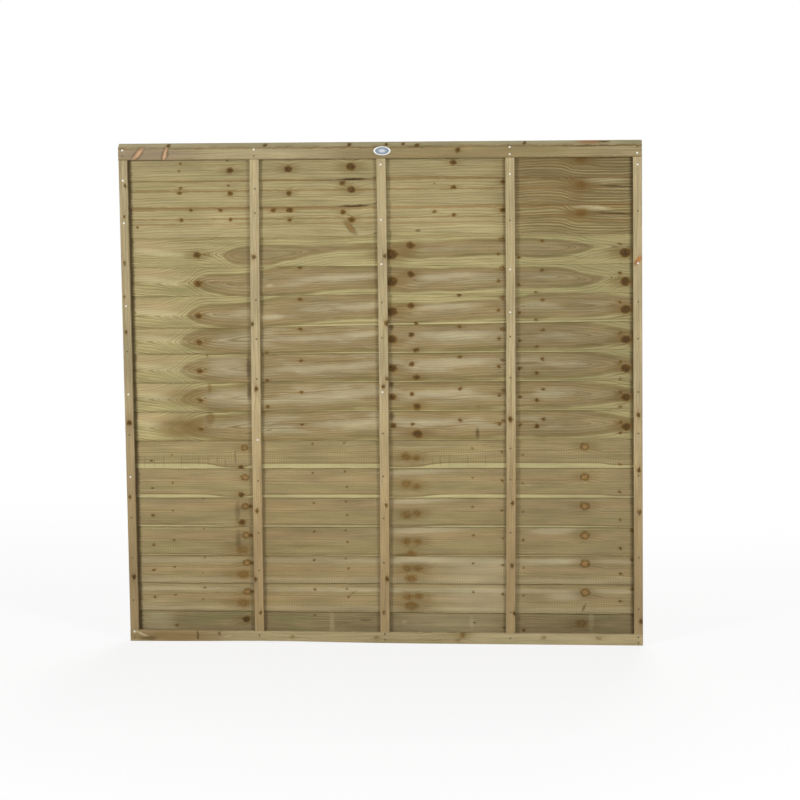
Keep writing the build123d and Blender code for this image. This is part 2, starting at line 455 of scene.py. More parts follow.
class Maker:
    """Adds nodes to the node tree of a material or of the world."""

    def __init__(self, tree):
        self.tree = tree

    def node(self, kind, settings=None, inputs=None, output=0):
        """Add a node: settings are set first, then each input gets a number or a link."""
        made = self.tree.nodes.new(kind)
        for key, value in (settings or {}).items():
            if key == "stops":
                set_stops(made, value)
            else:
                setattr(made, key, value)
        for key, value in (inputs or {}).items():
            self.feed(made.inputs[key], value)
        return Value(self, made.outputs[output])

    def feed(self, socket, value):
        """Link a socket to a wrapped one, or set its number or colour."""
        if isinstance(value, Value):
            self.tree.links.new(value.socket, socket)
        else:
            socket.default_value = value

    def vector(self, operation, *inputs, output=0):
        """A Vector Math node of this operation. Its second output is a number."""
        settings = {"operation": operation}
        return self.node("ShaderNodeVectorMath", settings, dict(enumerate(inputs)), output)

    def length(self, vector):
        """How long a vector is."""
        return self.vector("LENGTH", vector, output=1)

    def part(self, vector, index):
        """One of a vector's three numbers."""
        return self.node("ShaderNodeSeparateXYZ", None, {"Vector": vector}, index)

    def blend(self, factor, first, second):
        """Mix two colours. The Mix node's colour sockets are its seventh and eighth."""
        inputs = {0: factor, 6: first, 7: second}
        return self.node("ShaderNodeMix", {"data_type": "RGBA"}, inputs, 2)

    def window(self, value, start, stop, low=0.0, high=1.0):
        """Smooth step: low below start, high above stop."""
        inputs = {"Value": value, "From Min": start, "From Max": stop, "To Min": low, "To Max": high}
        return self.node("ShaderNodeMapRange", {"interpolation_type": "SMOOTHSTEP"}, inputs)

    def curve(self, value, inputs, outputs):
        """A smooth line through the given outputs. The node itself runs from 0 to 1 both ways."""
        inputs, outputs = np.array(inputs, float), np.array(outputs, float)
        reach, base, rise = float(np.ptp(inputs)), float(outputs.min()), float(np.ptp(outputs)) or 1.0
        stops = np.stack([(inputs - inputs[0]) / reach, (outputs - base) / rise], axis=1).tolist()
        share = (value - float(inputs[0])) / reach
        return self.node("ShaderNodeFloatCurve", {"stops": stops}, {"Value": share}) * rise + base

    def noise(self, vector, size, seed, detail=2.0, output=0):
        """Noise from 0 to 1 with blobs of the given size in mm along each axis. The seed shifts
        it, so that two patterns of one size differ."""
        shift = tuple(seed * step for step in SEED_STEPS)
        scaled = self.vector("MULTIPLY_ADD", vector, tuple(1 / length for length in size), shift)
        inputs = {"Vector": scaled, "Scale": 1.0, "Detail": detail}
        return self.node("ShaderNodeTexNoise", None, inputs, output)

    def spot(self, place, centre, half_sizes, tilt=0.0):
        """Place measured from a spot's centre in its own half sizes, so that its outline is at
        length 1. The tilt is in degrees."""
        settings = {"vector_type": "TEXTURE"}
        inputs = {
            "Vector": place,
            "Location": centre,
            "Rotation": (0.0, 0.0, radians(tilt)),
            "Scale": half_sizes,
        }
        return self.node("ShaderNodeMapping", settings, inputs)

    def bump(self, height, distance, strength):
        """The normal of a surface raised by the height times a distance in metres."""
        inputs = {"Height": height, "Distance": distance, "Strength": strength}
        return self.node("ShaderNodeBump", None, inputs)


class Finish(Maker):
    """A material under construction, with its Principled shader."""

    def __init__(self, name):
        self.material = bpy.data.materials.new(name)
        self.material.use_nodes = True
        super().__init__(self.material.node_tree)
        self.shader = self.tree.nodes["Principled BSDF"]

    def place(self):
        """The object's own coordinates, in mm."""
        local = self.node("ShaderNodeTexCoord", output="Object")
        return self.vector("MULTIPLY", local, (1 / MM, 1 / MM, 1 / MM))


def srgb(red, green, blue):
    """A colour as seen on a screen, 0 to 255, turned into the linear values a shader needs."""
    share = np.array([red, green, blue]) / 255
    linear = np.where(share <= 0.04045, share / 12.92, ((share + 0.055) / 1.055) ** 2.4)
    return (*linear.tolist(), 1.0)


print("Olive-yellow sapwood, linear:", [round(c, 3) for c in srgb(170, 160, 120)])

# %% [markdown]
# Sawn softwood shows the growth rings of its log as lines. A ring is wrapped round the pith, and
# a cut almost along it gives long pointed arches and, on the boards next to the pith, a heart
# like a boat. A whole log could be modelled and sawn up, but then no knot would fall where the
# real one does. So each board carries its own distance out from the heart's border, which is
# drawn by curves along the board, and the rings are lines at equal steps of that distance. It
# gives the colour too: darker heartwood inside the border and olive sapwood outside.

# %% Wood colours
SAP = srgb(170, 158, 112)
HEART = srgb(149, 131, 93)
CORE = srgb(182, 170, 138)
LATE = srgb(104, 84, 40)
GREEN = srgb(136, 136, 90)
BARK = srgb(62, 41, 10)
DEAD_KNOT = srgb(108, 79, 29)
LIVE_KNOT = srgb(134, 104, 56)
KNOT_HEART = srgb(166, 127, 82)
HALO = srgb(112, 88, 44)
DARK = srgb(72, 56, 28)
PALE = srgb(194, 182, 142)
BROWN = srgb(126, 98, 56)
TAN = srgb(158, 134, 96)
OLIVE = srgb(144, 134, 88)
STRIP = srgb(174, 163, 116)
print("Late wood against sapwood, linear:", [round(a / b, 2) for a, b in zip(LATE[:3], SAP[:3])])

# %% [markdown]
# One recipe makes every board, and each board says only how it differs from the usual one. The
# lengths here are in mm on the board's face, and the strengths are shares, mostly from 0 to 1.

# %% How one board differs from the next
DEFAULT_LOOK = {
    "log": 1,  # boards of one log share the flow of their rings
    "sap": SAP,
    "heart": HEART,
    "late": LATE,  # the dark edge of each ring
    "green": 0.3,  # strength of the preservative's green blotches
    "tone": 1.0,  # how light the whole board is
    "fade": (0.0, 1.0, 1.0),  # from, to, and how much lighter or darker the board is after that
    "pith": 140.0,  # height of the line that the rings are counted from
    "sweep": 24.0,  # how far the rings sway on their way along the board
    "dip": None,  # places and depths of a curve that the rings follow
    "boat": None,  # places, low border and high border of a boat-shaped heart
    "edge": 4.0,  # half width of the heart's soft border
    "core": 0.0,  # strength of the pale satin in the middle of the heart
    "bulge": 0.3,  # how strongly a knot pushes the rings outward
    "bend": 1.1,  # how strongly it parts them to its two sides
    "spacing": 8.0,  # width of a ring
    "drift": 22.0,  # how far slow noise moves the rings across the board
    "contrast": 0.45,  # strength of the ring lines
    "figure": (0.0, 1.0, 1.0),  # from, to, and how much stronger the lines are after that
    "streaks": 0.45,  # strength of long dark streaks
    "strip": None,  # width and shape of a strip of the palest sapwood along the foot
    "saw": 0.15,  # strength of the ripples that the saw left
    "saw_top": 200.0,  # height where they end
    "halo": 0.5,  # strength of the brown shade round a knot
}
print("A board can differ in", len(DEFAULT_LOOK), "ways")

# %% [markdown]
# A branch pushes the rings aside, so each knot adds a smooth swelling to the distance, drawn out
# along the grain. The painting later needs to know how far a point is from the nearest knot's
# outline, so that is worked out here too, apart for each of three kinds. Live branches leave
# brown knots with a pink heart, dead ones dark knots, and on the lower slats and the bottom rail
# some knots are no more than a smudge of broken arcs.

# %% Knots as distances
GRAIN_STRETCH = 3.6
SWELL_ACROSS = 1.8
SWELL_REACH = 1.5
SWELL_HEIGHT = 1.2
SPOT_DEPTH = 1e6


def knot_fields(finish, board, ragged, knots):
    """Bulge and sideways bend of the rings, and distance out from the nearest knot's outline of
    each kind, all in mm. The bend is the bulge times how far across the point is, so lines part
    round the knot. The outlines are measured in shaken coordinates, which makes them ragged."""
    bulge, bend = None, None
    nearest = {"live": None, "dead": None, "smudged": None}
    for kind, x, across, radius, long in knots:
        swelling = (radius * GRAIN_STRETCH * long, radius * SWELL_ACROSS, SPOT_DEPTH)
        around = finish.spot(board, (x, across, 0.0), swelling)
        push = finish.window(finish.length(around), 0.0, SWELL_REACH, radius * SWELL_HEIGHT, 0.0)
        part = push * finish.part(around, 1)
        bulge = push if bulge is None else bulge + push
        bend = part if bend is None else bend + part
        knot = finish.spot(ragged, (x, across, 0.0), (radius * long, radius, SPOT_DEPTH))
        outline = finish.length(knot).math("MULTIPLY_ADD", radius, -radius)
        near = nearest[kind]
        nearest[kind] = outline if near is None else near.math("MINIMUM", outline)
    return bulge, bend, nearest


print("Ring lines part over", GRAIN_STRETCH, "times a knot's radius along the grain")

# %% [markdown]
# Real boards have marks that follow no rule: stains, burns from the saw, pale streaks, cracks.
# Each is a soft oval spot of one tint. A painted texture would hold them too, but a short list
# of spots is easy to read and to change, and shows no pixels up close. A second helper moves a
# place by noise, so that outlines come out ragged and lines wavy.

# %% Marks and moved places
MARK_FULL = 0.3
MARK_END = 1.25


def add_marks(finish, board, colour, marks):
    """Paint soft oval marks, each (x, across, half length, half width, tilt, strength, tint)."""
    for x, across, half_length, half_width, tilt, strength, tint in marks:
        mark = finish.spot(board, (x, across, 0.0), (half_length, half_width, SPOT_DEPTH), tilt)
        cover = finish.window(finish.length(mark), MARK_FULL, MARK_END, strength, 0.0)
        colour = finish.blend(cover, colour, tint)
    return colour


def moved(finish, start, board, size, shake, seed):
    """The place start moved by three noises at once: start + shake * (noise(board) - 0.5)."""
    way = finish.vector("SUBTRACT", finish.noise(board, size, seed, 2.0, 1), (0.5, 0.5, 0.5))
    return finish.vector("MULTIPLY_ADD", way, shake, start)


print("A mark fades out from", MARK_FULL, "to", MARK_END, "of its half sizes")

# %% [markdown]
# The heart of a board is a boat: it starts in a point, swells to the board's full width and may
# end in a point again. Its two borders are smooth curves along the board, and the distance out
# from them is the larger of the distances below one and above the other. Inside, the heartwood
# has a pale satin core, and its border is a dark line.

# %% Heartwood
SWAY_SIZE = (520.0, 400.0, 400.0)
HEART_ROUNDING = 24.0
CORE_START = -16.0
CORE_FULL = -34.0


def from_heart(finish, board, look):
    """Distance in mm out from the heartwood's border, below 0 inside it. Where the two borders
    of a boat meet, the larger distance is rounded off. A board without a boat measures down from
    a straight line, or from one that dips."""
    along, across = finish.part(board, 0), finish.part(board, 1)
    sway = finish.noise(board, SWAY_SIZE, look["log"], 1.0) - 0.5
    if look["boat"] is not None:
        places, lows, highs = zip(*look["boat"])
        below = finish.curve(along, places, lows) - across
        above = across - finish.curve(along, places, highs)
        return below.math("SMOOTH_MAX", above, HEART_ROUNDING) + sway * look["sweep"]
    if look["dip"] is not None:
        across = across - finish.curve(along, *zip(*look["dip"]))
    return look["pith"] - across + sway * look["sweep"]


def paint_heart(finish, look, outward, blotch):
    """Base colour: sapwood outside, heartwood inside with a pale satin core, dark on the border."""
    if look["boat"] is None:
        return look["sap"]
    edge = look["edge"]
    colour = finish.blend(finish.window(outward, edge, -edge), look["sap"], look["heart"])
    # The pale core in the heart's middle is partly paler wood and partly a painted satin sheen.
    core = finish.window(outward, CORE_START, CORE_FULL) * finish.window(blotch, 0.4, 0.62)
    colour = finish.blend(core * look["core"], colour, CORE)
    near_border = finish.window(outward.math("ABSOLUTE"), edge * 1.5, 0.5)
    border = near_border * finish.window(blotch, 0.3, 0.6, 0.15, 0.6)
    return finish.blend(border, colour, look["late"])


print("The satin core is full", -CORE_FULL, "mm inside the border")

# %% [markdown]
# Along the foot of some slats runs a strip of the palest sapwood, the last wood under the bark.
# Its width is one number times a curve along the board, and a thin brown line lies above it.

# %% Strip of pale sapwood
STRIP_LINE_ABOVE = 2.5


def paint_strip(finish, board, look, colour):
    """Pale below the strip's edge, and a brown line STRIP_LINE_ABOVE mm over that edge."""
    width, shape = look["strip"]
    edge = finish.curve(finish.part(board, 0), *zip(*shape)) * width
    above = finish.part(board, 1) - edge
    line = finish.window((above - STRIP_LINE_ABOVE).math("ABSOLUTE"), 5.0, 0.5, 0.0, 0.4)
    colour = finish.blend(line, colour, look["late"])
    return finish.blend(finish.window(above, 1.2, -1.2), colour, STRIP)


print("The strip's brown line lies", STRIP_LINE_ABOVE, "mm above its edge")

# %% [markdown]
# Knots are painted last, over every mark. Noise of a few millimetres breaks up their rims, dark
# middles and arcs, because a clean ring of colour looks printed.

# %% Painting the knots
PATCH_SIZE = (6.0, 6.0, 12.0)
ARC_STEP = 0.7
ARC_BREAK = 13.0


def paint_knots(finish, board, colour, bulge, nearest, seed, halo):
    """Brown halo drawn out along the grain, brown live knots with a broken dark rim and a pink
    heart, dead knots that darken towards the middle, and smudged ones, whose arcs are
    sin(ARC_STEP * distance + ARC_BREAK * noise)."""
    patch = finish.noise(board, PATCH_SIZE, seed + 23)
    colour = finish.blend(finish.window(bulge, 1.5, 16.0, 0.0, halo), colour, HALO)
    live, dead, smudged = nearest["live"], nearest["dead"], nearest["smudged"]
    if live is not None:
        body = finish.blend(finish.window(patch, 0.36, 0.62), DEAD_KNOT, LIVE_KNOT)
        colour = finish.blend(finish.window(live, -3.0, 3.0, 0.85, 0.0), colour, body)
        rim = finish.window(live, -5.0, -2.0) * finish.window(live, -1.0, 3.0, 1.0, 0.0)
        colour = finish.blend(rim * finish.window(patch, 0.38, 0.56, 0.1, 0.5), colour, BARK)
        colour = finish.blend(finish.window(live, -10.0, -6.0, 0.5, 0.0), colour, KNOT_HEART)
    if dead is not None:
        colour = finish.blend(finish.window(dead, -2.5, 3.0, 0.92, 0.0), colour, DEAD_KNOT)
        dark = finish.window(dead, -6.5, 0.0, 0.85, 0.0) * finish.window(patch, 0.32, 0.6, 0.5, 1.0)
        colour = finish.blend(dark, colour, BARK)
    if smudged is not None:
        arcs = (smudged * ARC_STEP + patch * ARC_BREAK).math("SINE")
        strength = finish.window(arcs, -0.8, 0.8, 0.38, 0.8) + finish.window(patch, 0.44, 0.6, 0.0, 0.4)
        inside = finish.window(smudged, -7.0, 6.0, 1.0, 0.0)
        colour = finish.blend(strength * inside, colour, DEAD_KNOT)
    return colour


print("A smudged knot's arcs lie", round(2 * pi / ARC_STEP, 1), "mm apart")

# %% [markdown]
# The rings themselves: noise first moves the board's coordinates a little, so that no line is
# ruled, and the knots' bulge and bend are added to the distance. Its fraction after division by
# the ring's width runs from 0 to 1 over each year, and raised to a power it gives the slow dark
# rise and sudden end of a real year ring. A few years together are darker than their neighbours.
# The saw has left marks too: fine ripples across the grain, a sine of the place along the board.

# %% Ring lines and saw marks
DRIFT_SIZE = (210.0, 80.0, 120.0)
RIPPLE_SIZE = (60.0, 30.0, 60.0)
RIPPLE_SHIFT = 5.0
LATE_POWER = 1.6
GROUP_LENGTH = 15.0
SAW_STEP = 8.6
SAW_BEND = 5.0
SAW_FADE = 12.0


def ring_lines(finish, board, look, bulge, bend, uneven):
    """Distance out from the heart with the knots' push in it, the dark late part of each ring,
    year^LATE_POWER cut off at its end, and noise that tells dark groups of rings from pale."""
    drift = finish.noise(board, DRIFT_SIZE, look["log"] * 5 + 1, 1.0) - 0.5
    ripples = finish.noise(board, RIPPLE_SIZE, look["log"] * 5 + 2, 1.0) - 0.5
    across = drift * look["drift"] + ripples * RIPPLE_SHIFT
    flowing = finish.vector("ADD", board, finish.node("ShaderNodeCombineXYZ", None, {1: across}))
    outward = from_heart(finish, flowing, look) + bulge * look["bulge"] - bend * look["bend"]
    year = (outward / look["spacing"] + uneven * 0.5).math("FRACT")
    late = year ** LATE_POWER * (1 - finish.window(year, 0.82, 1.0))
    inputs = {"W": outward / GROUP_LENGTH + look["log"] * 3.0, "Detail": 1.5}
    groups = finish.node("ShaderNodeTexNoise", {"noise_dimensions": "1D"}, inputs)
    return outward, late, groups


def paint_lines(finish, board, look, colour, late, groups, bulge):
    """Dark lines where the late wood is, stronger beside knots and on the figured stretch."""
    start, stop, stronger = look["figure"]
    figured = finish.window(finish.part(board, 0), start, stop, 1.0, stronger)
    near_knot = finish.window(bulge, 0.5, 6.0, 0.8, 1.05)
    lines = (late * 0.8 + finish.window(groups, 0.42, 0.72)) * near_knot * figured * look["contrast"]
    return finish.blend(lines.math("MINIMUM", 0.85), colour, look["late"])


def saw_marks(finish, board, look, blotch, uneven):
    """Ripples across the grain, sin(2 pi * along / SAW_STEP), bent by noise. They fade out at a
    height above the foot, and come and go along the board."""
    along, across = finish.part(board, 0), finish.part(board, 1)
    ripple = (along * (2 * pi / SAW_STEP) + blotch * SAW_BEND).math("SINE") * look["saw"]
    ripple = ripple * finish.window(across, look["saw_top"], look["saw_top"] + SAW_FADE, 1.0, 0.1)
    return ripple * finish.window(uneven, 0.35, 0.65, 0.3, 1.2)


print("The saw left a ripple every", SAW_STEP, "mm")

# %% [markdown]
# The whole recipe lays one layer over another, as a painter would: heart and sap, green blotches,
# ring lines, streaks and fibres, the pale strip, marks, and last the knots. The board's tone and
# the saw's ripples then scale the colour. The fibres also make the surface rough and uneven.

# %% The wood recipe
WOBBLE_SIZE, WOBBLE_SHAKE = (22.0, 9.0, 30.0), (12.0, 8.0, 0.0)
JOLT_SIZE, JOLT_SHAKE = (9.0, 8.0, 30.0), (10.0, 9.0, 0.0)
UNEVEN_SIZE = (160.0, 30.0, 30.0)
FIBRE_SIZE = (34.0, 1.1, 1.1)
STREAK_SIZE = (260.0, 5.0, 8.0)
BLOTCH_SIZE = (150.0, 36.0, 60.0)
SAW_SHADE = 0.12
UNEVEN_SHADE = 0.6
RELIEF_HEIGHT = 0.0006
RELIEF_STRENGTH = 0.8
WOOD_SPECULAR = 0.25


def wood(name, place_of, knots, marks=(), seed=1, **changes):
    """Sawn softwood. place_of turns the object's coordinates in mm into the board's own: along
    the grain, across the face and depth. The rest says how this board differs from the usual.
    Each noise takes the board's seed plus a number of its own."""
    look = {**DEFAULT_LOOK, **changes}
    finish = Finish(name)
    board = place_of(finish, finish.place())
    wavy = moved(finish, board, board, WOBBLE_SIZE, WOBBLE_SHAKE, seed + 3)
    ragged = moved(finish, wavy, board, JOLT_SIZE, JOLT_SHAKE, seed + 5)
    bulge, bend, nearest = knot_fields(finish, wavy, ragged, knots)
    uneven = finish.noise(board, UNEVEN_SIZE, seed + 11)
    fibre = finish.noise(board, FIBRE_SIZE, seed + 2, 3.0)
    streak = finish.noise(wavy, STREAK_SIZE, seed + 19)
    blotch = finish.noise(board, BLOTCH_SIZE, seed + 7, 3.0)
    outward, late, groups = ring_lines(finish, board, look, bulge, bend, uneven)

    colour = paint_heart(finish, look, outward, blotch)
    colour = finish.blend(finish.window(blotch, 0.48, 0.75, 0.0, look["green"]), colour, GREEN)
    colour = paint_lines(finish, board, look, colour, late, groups, bulge)
    colour = finish.blend(finish.window(streak, 0.48, 0.8, 0.0, look["streaks"]), colour, look["late"])
    colour = finish.blend(finish.window(streak, 0.42, 0.2, 0.0, 0.4), colour, CORE)
    colour = finish.blend(finish.window(fibre, 0.35, 0.8, 0.0, 0.16), colour, look["late"])
    if look["strip"] is not None:
        colour = paint_strip(finish, board, look, colour)
    colour = add_marks(finish, wavy, colour, marks)
    colour = paint_knots(finish, board, colour, bulge, nearest, seed, look["halo"])

    ripple = saw_marks(finish, board, look, blotch, uneven)
    start, stop, end_tone = look["fade"]
    along = finish.part(board, 0)
    tone = finish.window(along, start, stop, look["tone"], look["tone"] * end_tone)
    shade = tone * (1 + (ripple * SAW_SHADE + (uneven - 0.5) * UNEVEN_SHADE))
    colour = finish.node("ShaderNodeVectorMath", {"operation": "SCALE"}, {0: colour, "Scale": shade})
    finish.feed(finish.shader.inputs["Base Color"], colour)
    finish.feed(finish.shader.inputs["Roughness"], 0.62 + fibre * 0.3)
    finish.shader.inputs["Specular IOR Level"].default_value = WOOD_SPECULAR
    relief = fibre * 0.5 + late * 0.16 + ripple * 0.1
    finish.feed(finish.shader.inputs["Normal"], finish.bump(relief, RELIEF_HEIGHT, RELIEF_STRENGTH))
    return finish.material


print("Wood recipe ready: fibres", FIBRE_SIZE[0], "mm long and", FIBRE_SIZE[1], "mm thick")

# %% [markdown]
# The seventeen slats came off only four logs, sawn one after another, so each branch shows again
# on the next slat a little higher or lower. That is why the knots line up in columns. A branch is
# written once: its kind, its place along the panel, the first slat it shows on, its height above
# each slat's foot, and its first and last radius. All are in mm, read off the photograph.

# %% Branches through the logs
LOGS = {
    1: [
        ("dead", -523, 1, (38, 51, 62), 10, 7), ("dead", -529, 1, (75, 78), 4, 4),
        ("dead", -316, 1, (41, 51, 59), 12, 6), ("dead", -315, 3, (94,), 10, 10),
        ("dead", -372, 3, (93,), 8, 8), ("dead", -96, 1, (47, 60, 57), 14, 10),
        ("dead", -127, 2, (83, 85), 8, 8), ("dead", 262, 1, (58, 65, 70), 9, 6),
        ("dead", 195, 2, (80, 84), 3, 6), ("dead", 432, 2, (82, 86), 7, 9),
        ("smudged", 705, 1, (64, 69, 74), 14, 14), ("dead", -699, 1, (64, 71, 62), 4, 6),
        ("dead", -703, 1, (39, 54), 4, 6), ("dead", -665, 3, (97,), 6, 6),
        ("dead", -560, 3, (96,), 6, 6), ("dead", -855, 3, (37,), 4, 4),
        ("live", 135, 3, (17,), 5, 5),
    ],
    4: [
        ("dead", -645, 4, (44, 43, 43, 42, 42, 41, 41), 12, 7),
        ("dead", -283, 5, (98, 95, 86, 77, 68, 57), 7, 5),
        ("dead", 40, 4, (40, 45, 47, 48, 47, 49, 51), 19, 10),
        ("dead", 108, 4, (72, 70, 67, 64, 62, 60, 57), 12, 6),
        ("dead", 125, 6, (5, 10, 15, 16, 22), 6, 15), ("dead", 277, 6, (102, 90, 86, 78, 70), 6, 6),
        ("dead", 415, 4, (38, 44, 47, 49, 50, 54, 56), 5, 6),
        ("live", 428, 4, (88, 88, 88, 80, 73, 71, 67), 8, 5),
        ("dead", 488, 4, (25, 30, 35, 40, 45, 48, 53), 5, 6),
        ("dead", 546, 5, (3, 11, 19, 28, 36, 48), 4, 8),
        ("dead", 568, 4, (82, 80, 79, 77, 76, 74, 73), 5, 6),
        ("dead", 838, 4, (69, 68, 66, 65, 64, 62, 61), 4, 6),
        ("dead", 857, 4, (38, 39, 41, 42, 43, 45, 46), 16, 14), ("dead", 838, 8, (6, 13, 23), 4, 5),
        ("dead", -405, 7, (4, 8, 18), 5, 6),
    ],
    11: [
        ("dead", -752, 11, (49, 53, 57, 54, 58, 58), 3, 4),
        ("dead", -825, 11, (29, 34, 40, 38, 46, 49), 4, 5),
        ("dead", -643, 13, (99, 94, 91, 84), 2, 3), ("dead", -650, 15, (36, 42), 2, 3),
        ("live", -492, 11, (73, 72, 73, 72, 73, 71), 11, 12),
        ("dead", -474, 13, (73, 72, 73, 71), 6, 6), ("dead", -505, 11, (3, 10, 15), 9, 11),
        ("smudged", -505, 14, (20, 31, 31), 15, 16),
        ("dead", -248, 11, (87, 88, 86, 85, 83, 80), 3, 4),
        ("dead", -135, 11, (91, 93, 91, 91, 90, 84), 3, 3),
        ("dead", -128, 12, (39, 43, 48, 54, 55), 3, 4),
        ("smudged", 120, 11, (37, 42, 49, 51, 56, 58), 11, 12),
        ("smudged", 84, 11, (42, 49, 43, 51, 55, 56), 14, 13),
        ("smudged", 97, 14, (8, 18, 23), 13, 17), ("dead", 317, 11, (71, 72, 72, 73, 73, 74), 3, 4),
        ("dead", 422, 11, (57, 60, 60, 65, 68, 68), 4, 4),
        ("dead", 495, 11, (47, 52, 55, 57, 59, 64), 3, 4),
        ("live", 712, 11, (75, 74, 76, 74, 74, 75), 13, 14),
        ("dead", 836, 11, (12, 21, 26, 29, 38, 45), 4, 5), ("dead", 877, 14, (90, 87, 88), 6, 6),
    ],
    17: [
        ("dead", -497, 17, (72,), 12, 12), ("dead", -748, 17, (49,), 5, 5),
        ("dead", 318, 17, (67,), 3, 3), ("dead", 425, 17, (50,), 3, 3),
        ("smudged", 697, 17, (67,), 15, 15), ("dead", 495, 17, (42,), 5, 5),
        ("dead", 875, 17, (97,), 4, 4), ("dead", -250, 17, (89,), 3, 3),
    ],
}
KNOT_LONG = {"live": 1.25, "dead": 1.25, "smudged": 1.45}


def knots_on(row):
    """(kind, x, height above the foot, radius, how much longer than wide) of each knot on a slat.
    The radius changes evenly from the branch's first slat to its last."""
    first = max(log for log in LOGS if log <= row)
    found = []
    for kind, x, start, heights, first_radius, last_radius in LOGS[first]:
        if start <= row < start + len(heights):
            share = (row - start) / max(1, len(heights) - 1)
            radius = first_radius + share * (last_radius - first_radius)
            found.append((kind, x, heights[row - start], radius, KNOT_LONG[kind]))
    return first, found


print("Knots drawn:", sum(len(knots_on(row)[1]) for row in slats))

# %% [markdown]
# The middle log, slats 4 to 10, was sawn through its heart. Each line of a boat gives a place
# along the panel and the heart's low and high border there, above the slat's foot. Where the low
# border is given above the high one, as at the left end, the board is all sapwood.

# %% Boat-shaped hearts
BOAT_FIRST = [
    (-914, 74, 10), (-760, 68, 16), (-620, 60, 24), (-560, 44, 42), (-460, 12, 70), (-330, 24, 71),
    (-215, 47, 70), (-8, 60, 75), (27, 32, 77), (438, 35, 90), (560, 30, 87), (680, 42, 77),
    (750, 60, 63), (914, 78, 45),
]
BOAT_SECOND = [
    (-914, 84, 4), (-790, 76, 10), (-715, 64, 22), (-665, 43, 44), (-640, 26, 62), (-580, 10, 74),
    (-460, 0, 80), (-330, 3, 91), (-8, 23, 92), (27, 15, 90), (438, 20, 90), (600, 25, 88),
    (715, 32, 67), (790, 54, 55), (840, 70, 38), (914, 78, 30),
]
BOAT_THIRD = [
    (-914, 86, 2), (-810, 78, 8), (-740, 66, 22), (-690, 43, 44), (-665, 26, 62), (-600, 8, 80),
    (-460, 4, 90), (-8, 26, 105), (27, 10, 73), (438, 21, 84), (600, 20, 100), (760, 24, 96),
    (914, 46, 70),
]
BOAT_LATER = [
    (-914, 86, 4), (-830, 78, 10), (-768, 67, 21), (-715, 43, 44), (-690, 26, 62), (-630, 8, 82),
    (-560, 2, 92), (-460, 0, 104), (-215, 4, 115), (-8, 14, 122), (27, 10, 104), (438, 14, 108),
    (640, 18, 104), (800, 30, 88), (914, 48, 66),
]
BOATS = {4: BOAT_FIRST, 5: BOAT_SECOND, 6: BOAT_THIRD}
print("Points along the later slats' heart:", len(BOAT_LATER))

# %% [markdown]
# What the boards of one log share is said once for the log, and what is a single slat's own, such
# as its tone, the strip at its foot or the saw's ripples, is said by its row.

# %% Looks of logs and rows
STRIP_SHAPE = [
    (-914, 1.0), (-640, 0.95), (-520, 0.15), (-440, 0.9), (-8, 0.9), (50, 0.2), (130, 0.3),
    (260, 1.0), (760, 0.9), (840, 0.5), (914, 0.8),
]
FOOT_SHAPE = [(-914, 0.2), (-500, 0.2), (-300, 0.7), (27, 1.0), (600, 1.0), (914, 0.8)]
STRIP_WIDTHS = {11: 18.0, 12: 12.0, 13: 6.0, 14: 3.0}
FOOT_WIDTHS = {6: 6.0, 7: 3.5, 8: 2.5, 9: 2.5, 10: 1.5, 16: 1.5}
KNOT_DIP = [
    (-914, 0), (-200, 0), (-96, -6), (0, 0), (440, 0), (600, 5), (648, 0), (700, -13), (745, -14),
    (914, -6),
]
LOG_LOOKS = {
    1: {
        "log": 1, "sap": srgb(166, 153, 111), "pith": 150.0, "contrast": 0.46,
        "figure": (380.0, 560.0, 3.9), "streaks": 0.38, "spacing": 9.5, "bulge": -0.2,
        "drift": 14.0, "dip": KNOT_DIP,
    },
    4: {
        "log": 2, "boat": BOAT_LATER, "edge": 9.0, "sweep": 10.0, "core": 0.62, "contrast": 0.5,
        "bulge": 0.3, "sap": srgb(175, 164, 116), "bend": 0.3, "spacing": 9.5,
        "figure": (-440.0, -640.0, 1.4),
    },
    11: {
        "log": 3, "sap": srgb(157, 140, 100), "contrast": 0.42, "halo": 0.35, "bend": 0.8,
        "fade": (330.0, 600.0, 0.91),
    },
    17: {
        "log": 4, "sap": srgb(153, 137, 99), "contrast": 0.6, "green": 0.75, "halo": 0.3,
        "sweep": 60.0,
    },
}
BOAT_EDGE = 5.0
TONES = {1: 0.93, 2: 1.02, 3: 1.1, 6: 1.03, 9: 1.05, 10: 1.06, 13: 0.95, 14: 0.95, 17: 0.79}
SLAT_FADE = (330.0, 600.0, 0.86)
SAW_MARKED = {
    4: (0.3, 200.0), 11: (0.6, 60.0), 14: (0.5, 34.0), 15: (0.5, 40.0), 16: (0.5, 40.0),
    17: (0.2, 200.0),
}
print("Slats with a pale strip:", sorted([*STRIP_WIDTHS, *FOOT_WIDTHS]))

# %% [markdown]
# The marks of each slat, as the recipe takes them: place, height above the foot, half length, half
# width, tilt in degrees, strength and tint. A band is a mark so long that it runs the whole
# slat, and a core streak is a pale one inside the heart.

# %% Marks on the slats
BAND = 4000.0
BANDS = {
    # The wide brown band near the top of row 1 is painted shade, where the top rail shades the slat.
    1: [(88, 14, 0.5, BROWN), (1, 6, 0.65, BROWN)],
    2: [(98, 7, 0.7, BROWN), (60, 4, 0.65, BROWN), (1, 6, 0.65, BROWN)],
    3: [(99, 6, 0.65, BROWN), (64, 3.5, 0.65, BROWN), (46, 4, 0.5, BROWN)],
    4: [(100, 4, 0.35, BROWN)],
    12: [(70, 14, 0.35, TAN), (36, 12, 0.3, OLIVE)],
    13: [(74, 16, 0.4, TAN), (30, 14, 0.3, OLIVE)],
    14: [(70, 16, 0.4, TAN), (26, 18, 0.3, OLIVE)],
    15: [(50, 9, 0.5, TAN), (82, 9, 0.35, CORE), (12, 12, 0.25, CORE)],
    16: [(50, 8, 0.5, TAN), (80, 10, 0.35, CORE), (12, 12, 0.25, CORE)],
}
CORE_LONGER, CORE_WIDER, CORE_TILT, CORE_STRENGTH = 1.3, 1.7, 2, 0.5
